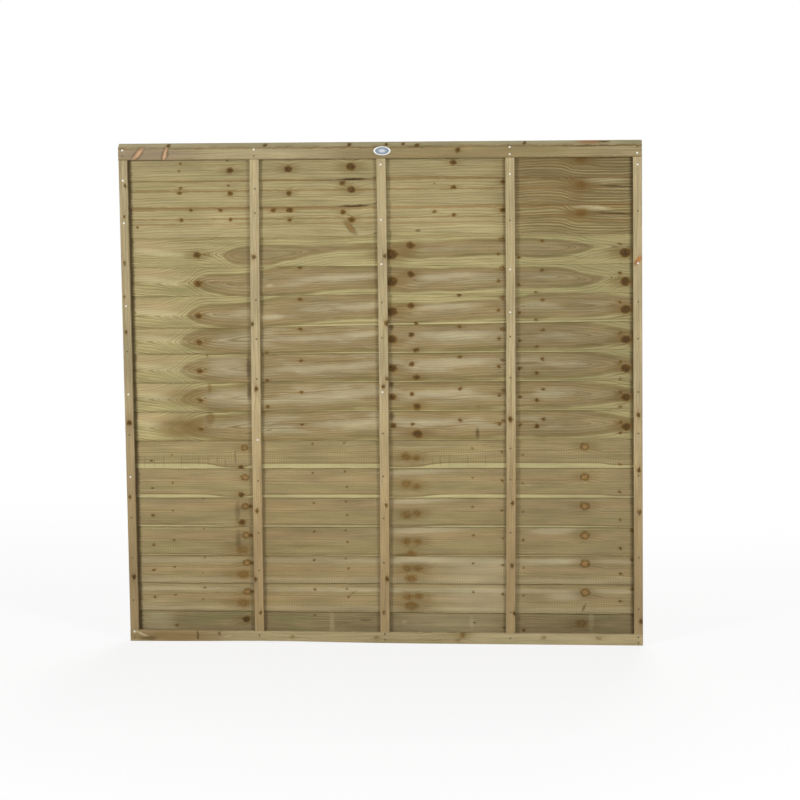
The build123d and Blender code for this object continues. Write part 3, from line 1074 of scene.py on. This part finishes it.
# The pale core streaks are partly paler wood and partly a painted satin sheen along the heart's middle.
CORE_STREAKS = {
    5: [(-140, 60, 150, 7), (240, 62, 120, 8)],
    6: [(-70, 64, 70, 8), (-385, 36, 40, 6), (230, 62, 110, 8)],
    7: [(-250, 54, 130, 7), (-70, 66, 60, 7), (280, 62, 160, 10)],
    8: [(-240, 50, 140, 8), (-60, 62, 60, 8), (230, 64, 150, 11)],
    9: [(-150, 58, 150, 8), (180, 60, 140, 9)],
    10: [(-100, 60, 130, 8), (160, 60, 120, 8)],
    12: [(120, 92, 130, 6)],
    13: [(120, 92, 130, 6)],
    14: [(140, 92, 150, 8), (600, 90, 80, 8)],
    15: [(120, 86, 130, 8), (600, 80, 90, 8)],
    16: [(640, 60, 60, 10)],
}
PINK_TAN = srgb(172, 148, 110)
LEFT_FIGURE = [
    (-830, 80, 170, 26, -2, 0.45, PINK_TAN), (-790, 54, 110, 14, -6, 0.35, PALE),
    (-720, 20, 90, 16, 4, 0.25, GREEN),
]
LEFT_ROWS = range(4, 11)
# Painted shadow: a dark band along the inner side of each end batten, where the batten shades the
# slats.
END_BATTEN_SHADOWS = [(-880, 50, 11, BAND, 0, 0.75, DARK), (880, 50, 12, BAND, 0, 0.45, DARK)]
SAW_BURNS = (-850, -815, -782, -718, -655, -622, -590, -560, 143, 178, 205, 238, 302, 365)
MARKS = {
    1: [
        (-85, 3, 62, 6, 0, 0.95, BARK), (590, 50, 230, 70, 0, 0.3, BROWN),
        (700, 68, 40, 12, -8, 0.6, BROWN), (240, 5, 230, 5, 0, 0.5, BROWN),
    ],
    2: [
        (825, 63, 95, 4, -2, 0.9, DARK), (780, 84, 90, 14, 0, 0.3, PALE),
        (-85, 3, 62, 6, 0, 0.95, BARK), (690, 66, 60, 5, 8, 0.4, HALO),
        (590, 60, 230, 60, 0, 0.28, BROWN), (690, 80, 60, 14, -30, 0.6, BROWN),
        (690, 30, 34, 24, 0, 0.4, BROWN),
    ],
    3: [
        (825, 69, 90, 4, -3, 0.9, DARK), (740, 90, 70, 10, -3, 0.65, PALE),
        (690, 66, 50, 18, 0, 0.6, BROWN), (-101, 30, 36, 13, -50, 0.7, DARK),
        (-101, 30, 30, 7, -50, 0.8, LIVE_KNOT),
    ],
    5: [(-390, 35, 14, 6, 0, 0.4, PALE)],
    6: [(640, 2, 42, 3, 0, 0.6, GREEN), (500, 94, 22, 4, 0, 0.6, GREEN)],
    7: [(720, 2, 22, 3, 0, 0.5, GREEN), (38, 92, 10, 14, 0, 0.7, DARK)],
    8: [
        (-545, 62, 80, 40, 0, 0.35, CORE), (-618, 100, 6, 12, 0, 0.7, HALO),
        (-470, 50, 10, 52, 0, 0.65, DARK),
    ],
    9: [
        (-545, 52, 70, 36, 0, 0.3, CORE), (-612, 84, 8, 20, 0, 0.7, HALO),
        (-470, 70, 10, 36, 0, 0.65, DARK), (-705, 52, 80, 38, 0, 0.5, HALO),
        (35, 95, 10, 14, 0, 0.7, DARK), (340, 14, 8, 9, 0, 0.4, HALO),
    ],
    10: [
        (-611, 81, 17, 26, 0, 0.5, DARK), (-611, 81, 9, 24, 0, 0.5, LIVE_KNOT),
        (-715, 48, 110, 50, 0, 0.75, HALO), (-473, 27, 14, 2, 14, 0.8, DARK),
        (-403, 37, 17, 2, 5, 0.8, DARK), (337, 24, 9, 24, 0, 0.7, DARK),
        (35, 84, 12, 16, 0, 0.7, DARK),
    ],
    11: [(x, 26, 1.6, 24, 0, 0.4, DARK) for x in SAW_BURNS] + [(-525, 42, 2.4, 27, 0, 0.7, DARK)],
    13: [(-430, 50, 240, 80, 0, 0.13, BROWN), (-520, 50, 11, 48, 0, 0.4, DARK)],
    14: [
        (-430, 50, 240, 80, 0, 0.16, BROWN), (-520, 50, 11, 48, 0, 0.45, DARK),
        (72, 2, 46, 5, 0, 0.6, DARK),
    ],
    15: [
        (-450, 50, 260, 80, 0, 0.18, BROWN), (340, 55, 150, 60, 0, 0.35, CORE),
        (90, 20, 22, 12, 0, 0.5, HALO),
    ],
    16: [
        (-450, 50, 260, 80, 0, 0.16, BROWN), (340, 55, 150, 60, 0, 0.35, CORE),
        (707, 20, 18, 5, 65, 0.6, DARK), (-112, 68, 18, 2, 30, 0.6, DARK),
    ],
    17: [
        (230, 55, 240, 70, 0, 0.25, PALE), (-189, 50, 11, 60, 0, 0.3, PALE),
        (310, 69, 10, 26, 0, 0.3, PALE), (732, 74, 12, 38, 0, 0.3, PALE),
        (-815, 50, 72, 90, 0, 0.3, PALE), (70, 67, 12, 10, 0, 0.3, PALE),
        (-70, 74, 26, 6, 0, 0.4, DARK),
    ],
}


def marks_on(row):
    """All marks of a slat in the order they are painted: bands, streaks, figure, own, and the painted
    shadows beside the end battens.
    """
    marks = []
    for height, half, strength, tint in BANDS.get(row, ()):
        marks.append((0, height, BAND, half, 0, strength, tint))
    for x, height, long, half in CORE_STREAKS.get(row, ()):
        marks.append((x, height, long * CORE_LONGER, half * CORE_WIDER, CORE_TILT, CORE_STRENGTH, CORE))
    if row in LEFT_ROWS:
        marks += LEFT_FIGURE
    return marks + MARKS.get(row, []) + END_BATTEN_SHADOWS


print("Marks on the slats:", sum(len(marks_on(row)) for row in slats))

# %% [markdown]
# Each slat gets a material of its own. Its pattern lies in the slat's own coordinates, which run
# along the slat and up from its sloping foot, so that knots and marks stay on the board.

# %% Slat materials
def slat_place(row):
    """The slat's own coordinates: X along it, height above its sloping foot, and depth."""
    low, _, left, climb, _ = slat_lines(row)

    def place_of(finish, place):
        x = finish.part(place, 0)
        above = finish.part(place, 2) - (x * climb + (left - climb * low[0]))
        return finish.node("ShaderNodeCombineXYZ", None, {0: x, 1: above, 2: finish.part(place, 1)})

    return place_of


def slat_look(row, log):
    """The log's look with this row's own tone, heart, strip and saw marks."""
    look = {"fade": SLAT_FADE, "tone": TONES.get(row, 1.0), **LOG_LOOKS[log]}
    if row in BOATS:
        look["boat"], look["edge"] = BOATS[row], BOAT_EDGE
    if row in STRIP_WIDTHS:
        look["strip"] = (STRIP_WIDTHS[row], STRIP_SHAPE)
    if row in FOOT_WIDTHS:
        look["strip"] = (FOOT_WIDTHS[row], FOOT_SHAPE)
    if row in SAW_MARKED:
        look["saw"], look["saw_top"] = SAW_MARKED[row]
    return look


for row, slat in slats.items():
    log, knots = knots_on(row)
    look = slat_look(row, log)
    material = wood(f"slat_wood_{row:02d}", slat_place(row), knots, marks_on(row), row, **look)
    slat.data.materials.append(material)
print("Slat materials:", len(slats))

# %% [markdown]
# The battens are the same wood seen on a narrow face, straighter in the grain and a little paler.
# Their own coordinates run up the piece, so the same recipe serves. The rear ones aren't in the
# photograph, and get the front ones' knots turned head to foot.

# %% Batten wood
BATTEN_SAP = srgb(184, 168, 130)
BATTEN_FADE = (900.0, 100.0, 0.77)
BATTEN_MARKS = [(100, 0, 780, 200, 0, 0.5, srgb(176, 144, 96))]
ORANGE_STAIN = [
    (1362, 3, 20, 11, 35, 0.95, srgb(172, 116, 64)), (1350, -6, 12, 8, 0, 0.6, srgb(120, 78, 36)),
]
BATTEN_TONES = (0.88, 1.03, 1.04, 1.02, 0.97)
TURNED_FROM = 1760
BAR_KNOT_LONG = 1.3
BATTEN_KNOTS = {
    1: [
        (1628, 6, 5), (1520, 2, 4), (1357, -2, 4), (1238, -6, 4), (1112, -3, 5), (788, 0, 9),
        (523, -6, 5), (233, 3, 8),
    ],
    2: [(1376, -5, 7), (1140, -12, 6), (910, -2, 7), (475, -4, 6), (227, -12, 7), (107, 5, 5)],
    3: [
        (1378, 11, 6), (1143, 16, 8), (920, 2, 6), (945, 14, 6), (495, 9, 6), (232, 10, 7),
        (112, -3, 5),
    ],
    4: [(803, 0, 8), (505, 8, 6), (283, 5, 6), (112, 14, 6)],
    5: [(820, 2, 7), (625, 3, 7), (475, 4, 7), (87, 10, 7)],
}


def batten_place(node, number):
    """The batten's own coordinates: up it, across from its sloping middle line, and depth."""
    low, high, foot, head, _ = batten_line(node, number)
    slope = (head - foot) / (high[2] - low[2])

    def place_of(finish, place):
        z = finish.part(place, 2)
        beside = finish.part(place, 0) - (z * slope + (foot - slope * low[2]))
        return finish.node("ShaderNodeCombineXYZ", None, {0: z, 1: beside, 2: finish.part(place, 1)})

    return place_of


for node, batten in battens.items():
    number = int(node[-1])
    rear = "rear" in node
    knots = []
    for z, across, radius in BATTEN_KNOTS[number]:
        knots.append(("dead", TURNED_FROM - z if rear else z, across, radius, BAR_KNOT_LONG))
    marks = BATTEN_MARKS + (ORANGE_STAIN if node == "front_batten_5" else [])
    material = wood(
        f"{node}_wood", batten_place(node, number), knots, marks, 30 + number + (7 if rear else 0),
        sap=BATTEN_SAP, pith=60.0, sweep=30.0, spacing=4.0, green=0.2, log=10 + number,
        fade=BATTEN_FADE, tone=BATTEN_TONES[number - 1], contrast=0.5,
    )
    batten.data.materials.append(material)
print("Batten materials:", len(battens))

# %% [markdown]
# The rails' grain runs along the panel. Two slanting cuts through branches, orange in the middle
# and dark round them, cross the left end of the top rail. Its bevel is pale, partly paler wood and
# partly a painted highlight, and painted shade lies just under the bevel and along the rail's lower
# edge.

# %% Rail wood
RAIL_SAP = srgb(174, 158, 119)
TOP_RAIL_TONE = 0.885
GREY_PINK = srgb(152, 134, 108)
DARK_OLIVE = srgb(134, 116, 72)
BRANCH_ORANGE = srgb(206, 164, 126)
RUST = srgb(178, 130, 78)
RAIL_KNOTS = {
    "top_rail_front": [
        (-735, 1767, 5), (-395, 1767, 5), (-100, 1767, 6), (30, 1767, 5), (88, 1767, 5),
        (510, 1767, 5), (136, 1762, 7), (280, 1745, 8),
    ],
    "bottom_rail_front": [
        (-592, 32, 4), (-330, 20, 5), (280, 32, 10), (260, 12, 5), (565, 26, 6), (760, 25, 5),
        (-27, 20, 6),
    ],
}
RAIL_MARKS = {
    "top_rail_front": [
        # The pale band at 1769 on the bevel is partly paler wood and partly a painted highlight. The
        # dark bands at 1757 and 1719 and the dark line at 755 are painted shade, under the bevel's edge
        # and along the rail's lower edge.
        (0, 1769, BAND, 8, 0, 0.8, PALE), (0, 1757, BAND, 4, 0, 0.7, HALO),
        (0, 1719, BAND, 4, 0, 0.5, HALO), (-800, 1738, 170, 26, 0, 0.8, GREY_PINK),
        (340, 1738, 520, 30, 0, 0.62, DARK_OLIVE), (-420, 1738, 260, 28, 0, 0.3, PALE),
        (-845, 1738, 36, 15, 48, 0.75, DARK), (-845, 1738, 33, 9, 48, 1.0, BRANCH_ORANGE),
        (-748, 1738, 32, 13, 70, 0.8, DARK), (-748, 1738, 30, 7, 72, 1.0, BRANCH_ORANGE),
        (755, 1757, 160, 3, 0, 0.6, DARK), (735, 1769, 60, 6, 0, 0.9, RUST),
        (785, 1770, 22, 3, 0, 0.9, DARK), (880, 1768, 60, 6, 0, 0.4, GREEN),
        (280, 1745, 14, 10, 60, 0.7, DARK), (136, 1757, 26, 4, 0, 0.6, DARK),
    ],
    "bottom_rail_front": [
        (-770, 20, 230, 30, 0, 0.72, BROWN), (-876, 28, 34, 4, -25, 0.7, PALE),
        (-850, 10, 40, 8, 0, 0.6, DARK), (-670, 22, 5, 22, 0, 0.8, DARK),
        (-567, 20, 24, 2.5, 8, 0.7, PALE), (-590, 30, 5, 8, 0, 0.8, DARK),
        (560, 20, 300, 40, 0, 0.3, PALE),
    ],
}
SPARE_RAIL_KNOTS = (-620, -210, 190, 640)
SPARE_RADIUS = 7
RAIL_MIDDLES = {"top": 1735.0, "bottom": 20.0}
PITH_ABOVE = 60


def rail_place(finish, place):
    """A rail's own coordinates: along the panel, up, and depth."""
    inputs = {0: finish.part(place, 0), 1: finish.part(place, 2), 2: finish.part(place, 1)}
    return finish.node("ShaderNodeCombineXYZ", None, inputs)


for node, rail in rails.items():
    level = node.split("_")[0]
    middle = RAIL_MIDDLES[level]
    at = RAIL_KNOTS.get(node, [(x, middle, SPARE_RADIUS) for x in SPARE_RAIL_KNOTS])
    kind = "dead" if level == "top" else "smudged"
    knots = [(kind, x, z, radius, BAR_KNOT_LONG) for x, z, radius in at]
    rail.data.materials.append(wood(
        f"{node}_wood", rail_place, knots, RAIL_MARKS.get(node, []), 50 + len(node), sap=RAIL_SAP,
        pith=middle + PITH_ABOVE, sweep=50.0, spacing=4.5, log=20 + len(node),
        tone=TOP_RAIL_TONE if level == "top" else 1.0,
    ))
print("Rail materials:", len(rails))

# %% [markdown]
# The nails are galvanised: dull grey zinc with a crystalline mottle. Some heads catch the light as
# white dots, which are painted glints in the base colour, and others have gone dark in the damp
# wood. The heads stay as the frame made them, and the nails' materials know the glints' places.

# %% Nails
ZINC = srgb(122, 106, 76)
DULL_ZINC = srgb(84, 70, 44)
GLINT_WHITE = srgb(222, 220, 212)
ZINC_METALLIC = 0.12
GLINT_REACH = 14.0
GLINT_HEADS = [
    (-899, 1647), (-899, 1497), (-899, 1204), (-899, 890), (-899, 594), (-440, 729),
    (9, 1697), (9, 1504), (9, 1350), (7, 899), (459, 1661), (458, 1330), (456, 1180),
    (900, 1691), (900, 1350), (-896, 1753), (-437, 1750), (459, 1755), (459, 1730), (900, 1731),
    (-900, 35),
]


def zinc(name, glints):
    """Dull and light zinc mixed by fine noise, and a painted glint, white, within a small reach of
    each of the glint places (x, z)."""
    finish = Finish(name)
    place = finish.place()
    mottle = finish.noise(place, (1.2, 1.2, 1.2), 2)
    colour = finish.blend(finish.window(mottle, 0.35, 0.7), DULL_ZINC, ZINC)
    # Painted glint: white base colour round each head that catches the light.
    for x, z in glints:
        head = finish.spot(place, (x, 0.0, z), (GLINT_REACH, SPOT_DEPTH, GLINT_REACH))
        near = finish.window(finish.length(head), 0.8, 1.0, 1.0, 0.0)
        colour = finish.blend(near, colour, GLINT_WHITE)
    finish.feed(finish.shader.inputs["Base Color"], colour)
    finish.feed(finish.shader.inputs["Roughness"], 0.42 + mottle * 0.25)
    finish.shader.inputs["Metallic"].default_value = ZINC_METALLIC
    finish.feed(finish.shader.inputs["Normal"], finish.bump(mottle, 0.0002, 0.5))
    return finish.material


for node in ("batten_nails", "rail_nails", "badge_pins"):
    glints = [] if node == "badge_pins" else GLINT_HEADS
    nodes[node].data.materials.clear()
    nodes[node].data.materials.append(zinc(node + "_zinc", glints))
print("Bright nail heads:", len(GLINT_HEADS))

# %% [markdown]
# The badge has a white enamelled rim round a blue-grey field that is paler in the middle. Its
# colours follow the distance from the oval's centre, and a few scuffs lie over them.

# %% Badge enamel
RIM_WHITE = srgb(226, 228, 226)
FIELD_PALE = srgb(196, 200, 204)
FIELD_BLUE = srgb(120, 132, 146)
SCUFF_GREY = srgb(150, 150, 146)


def badge_finish():
    """White rim and grey-blue field, paler in the middle, by distance from the oval's centre."""
    low, high = box_mm("badge")
    centre, half = (low + high) / 2, (high - low) / 2
    finish = Finish("badge_enamel")
    place = finish.place()
    oval = finish.spot(place, (centre[0], 0.0, centre[2]), (half[0], SPOT_DEPTH, half[2]))
    away = finish.length(oval)
    field = finish.blend(finish.window(away, 0.1, 0.62), FIELD_PALE, FIELD_BLUE)
    colour = finish.blend(finish.window(away, 0.76, 0.84), field, RIM_WHITE)
    scuffs = finish.noise(place, (3.0, 3.0, 3.0), 4, 3.0)
    colour = finish.blend(finish.window(scuffs, 0.55, 0.8, 0.0, 0.35), colour, SCUFF_GREY)
    finish.feed(finish.shader.inputs["Base Color"], colour)
    finish.feed(finish.shader.inputs["Roughness"], 0.3 + scuffs * 0.25)
    return finish.material


badge.data.materials.append(badge_finish())
print("Badge material:", badge.data.materials[0].name)

# %% [markdown]
# The photograph is taken from a little to the right, from above eye height and from far off with a
# long lens. The camera's place, angles and lens were solved from the panel's corners there.
# Rolling, tilting and then turning the camera gives its matrix.

# %% Camera
CAMERA_PLACE = (1.16262, -10.43577, 2.31256)
CAMERA_YAW = radians(6.00645)
CAMERA_PITCH = radians(7.83668)
CAMERA_ROLL = radians(-0.76259)
CAMERA_LENS = 135.59
camera_data = bpy.data.cameras.new("camera")
camera_data.sensor_width = 36.0
camera_data.lens = CAMERA_LENS
camera_data.clip_end = 200.0
camera = bpy.data.objects.new("camera", camera_data)
bpy.context.scene.collection.objects.link(camera)
turn = Matrix.Rotation(CAMERA_YAW, 4, "Z") @ Matrix.Rotation(pi / 2 - CAMERA_PITCH, 4, "X")
camera.matrix_world = Matrix.Translation(CAMERA_PLACE) @ turn @ Matrix.Rotation(CAMERA_ROLL, 4, "Z")
bpy.context.scene.camera = camera
print("Camera lens", CAMERA_LENS, "mm, at", CAMERA_PLACE)

# %% [markdown]
# The lamps are two broad panels, one to each side in front, which is what leaves a soft dark band
# beside every batten, and a larger one behind that lights the back of the panel. Each has its
# place and size in metres and its power in watts.

# %% Lamps
PANEL_MIDDLE = (0.0, 0.0, 0.9)
LAMPS = {
    "left_panel": ((-2.5, -3.7, 2.4), 0.9, 102.0),
    "right_panel": ((2.7, -3.7, 2.4), 0.9, 92.0),
    "back_panel": ((0.5, 4.5, 3.0), 2.5, 170.0),
}


def soft_lamp(name, place, aim, size, power):
    """A square area lamp at a place, turned so that its -Z axis points at the aim."""
    data = bpy.data.lights.new(name, "AREA")
    data.size = size
    data.energy = power
    lamp = bpy.data.objects.new(name, data)
    bpy.context.scene.collection.objects.link(lamp)
    lamp.location = place
    lamp.rotation_euler = (Vector(aim) - Vector(place)).to_track_quat("-Z", "Y").to_euler()


for name, (place, size, power) in LAMPS.items():
    soft_lamp(name, place, PANEL_MIDDLE, size, power)
print("Lamps:", len(LAMPS))

# %% [markdown]
# The background has to be white without lighting the wood any more. So the world is at full
# strength only for the rays that the camera sees directly, in metal or through glass, and dim for
# all others.

# %% White world
WORLD_LIGHT = 0.24


def white_to_camera(maker):
    """1 for rays that the camera sees directly, in metal or through glass, 0 for the rest."""
    seen = maker.node("ShaderNodeLightPath", output="Is Camera Ray")
    for ray in ("Is Glossy Ray", "Is Transmission Ray"):
        seen = seen.math("MAXIMUM", maker.node("ShaderNodeLightPath", output=ray))
    return seen


world = bpy.data.worlds.new("studio")
world.use_nodes = True
bpy.context.scene.world = world
background = world.node_tree.nodes["Background"]
background.inputs["Color"].default_value = (1.0, 1.0, 1.0, 1.0)
sky = Maker(world.node_tree)
levels = {"Value": white_to_camera(sky), "To Min": WORLD_LIGHT, "To Max": 1.0}
sky.feed(background.inputs["Strength"], sky.node("ShaderNodeMapRange", None, levels))
print("World strength:", WORLD_LIGHT, "on the wood and 1 to the camera")

# %% [markdown]
# The floor is a very large sheet. Near the panel the camera sees a mix of lit paper and pure
# white, so the shadow still shows, and further out the mix goes over to white alone, which hides
# where the floor ends.

# %% Floor
FLOOR_HALF = 60.0
FLOOR_WHITE = 0.8
PAPER = (0.9, 0.9, 0.9, 1.0)
PAPER_ROUGHNESS = 0.9
FADE_START = 1.0
FADE_END = 4.0
floor_mesh = bpy.data.meshes.new("floor")
corners = [(x * FLOOR_HALF, y * FLOOR_HALF, 0) for x, y in ((-1, -1), (1, -1), (1, 1), (-1, 1))]
floor_mesh.from_pydata(corners, [], [(0, 1, 2, 3)])
floor = bpy.data.objects.new("floor", floor_mesh)
bpy.context.scene.collection.objects.link(floor)
paper = Finish("floor_paper")
paper.shader.inputs["Base Color"].default_value = PAPER
paper.shader.inputs["Roughness"].default_value = PAPER_ROUGHNESS
away = paper.length(paper.node("ShaderNodeTexCoord", output="Object"))
whiteness = white_to_camera(paper) * paper.window(away, FADE_START, FADE_END, FLOOR_WHITE, 1.0)
glow = paper.node("ShaderNodeEmission", None, {"Strength": 1.0})
lit = Value(paper, paper.shader.outputs[0])
mixed = paper.node("ShaderNodeMixShader", None, {0: whiteness, 1: lit, 2: glow})
paper.feed(paper.tree.nodes["Material Output"].inputs["Surface"], mixed)
floor_mesh.materials.append(paper.material)
bpy.context.scene.view_settings.view_transform = "Standard"
print("The floor is all white from", FADE_END, "m out")
